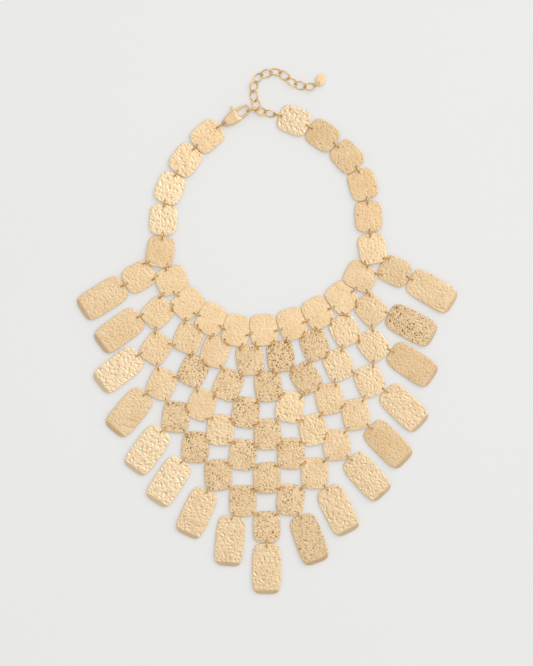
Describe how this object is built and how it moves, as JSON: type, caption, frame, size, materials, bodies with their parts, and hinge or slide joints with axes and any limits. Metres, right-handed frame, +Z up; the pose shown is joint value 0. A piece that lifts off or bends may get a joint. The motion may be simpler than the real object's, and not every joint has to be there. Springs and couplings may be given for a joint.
{
  "type": "bib necklace",
  "caption": "Bib necklace: a fan-shaped net of hammered cushion plates on jump rings, fringed with long drops, on two plate chains with a lobster clasp and an extender.",
  "frame": {"origin": "centre of the necklace's bounding box in X and Y, on the surface it lies on", "axes": "+Z up, out of the faces of the plates; +Y from the tip of the bib to the clasp; +X to the right with the clasp at the top"},
  "size_m": [0.2276, 0.3154, 0.006],
  "materials": {
    "hammered_gold": "hammered, satin pale gold plating",
    "polished_gold": "smooth, bright pale gold plating"
  },
  "bodies": {
    "necklace": {"collar_row": "hammered_gold", "net_upper": "hammered_gold", "net_lower": "hammered_gold", "net_tip": "hammered_gold", "side_plate_left": "hammered_gold", "side_plate_right": "hammered_gold", "neck_plate_left_1": "hammered_gold", "neck_plate_left_2": "hammered_gold", "neck_plate_left_3": "hammered_gold", "neck_plate_left_4": "hammered_gold", "neck_plate_left_5": "hammered_gold", "neck_plate_right_1": "hammered_gold", "neck_plate_right_2": "hammered_gold", "neck_plate_right_3": "hammered_gold", "neck_plate_right_4": "hammered_gold", "neck_plate_right_5": "hammered_gold", "neck_plate_right_6": "hammered_gold", "drop_left_1": "hammered_gold", "drop_left_2": "hammered_gold", "drop_left_3": "hammered_gold", "drop_left_4": "hammered_gold", "drop_left_5": "hammered_gold", "drop_left_6": "hammered_gold", "drop_left_7": "hammered_gold", "drop_left_8": "hammered_gold", "drop_right_1": "hammered_gold", "drop_right_2": "hammered_gold", "drop_right_3": "hammered_gold", "drop_right_4": "hammered_gold", "drop_right_5": "hammered_gold", "drop_right_6": "hammered_gold", "drop_right_7": "hammered_gold", "drop_right_8": "hammered_gold", "drop_center": "hammered_gold", "clasp_body": "polished_gold", "neck_link_1": "polished_gold", "neck_link_2": "polished_gold", "neck_link_3": "polished_gold", "extender_link_1": "polished_gold", "extender_link_2": "polished_gold", "extender_link_3": "polished_gold", "extender_link_4": "polished_gold", "extender_link_5": "polished_gold", "extender_link_6": "polished_gold", "extender_link_7": "polished_gold", "extender_link_8": "polished_gold", "extender_link_9": "polished_gold", "extender_link_10": "polished_gold", "extender_tag": "polished_gold"},
    "clasp_lever": {"clasp_lever": "polished_gold"}
  },
  "joints": [
    {"name": "clasp_lever_hinge", "type": "hinge", "parent": "necklace", "child": "clasp_lever", "pos_m": [-0.02089, 0.13006, 0.00244], "axis": [-0.0449, -0.027, 0.9986], "range_deg": [-13, 0], "stiffness_Nm_per_rad": 0.02}
  ]
}
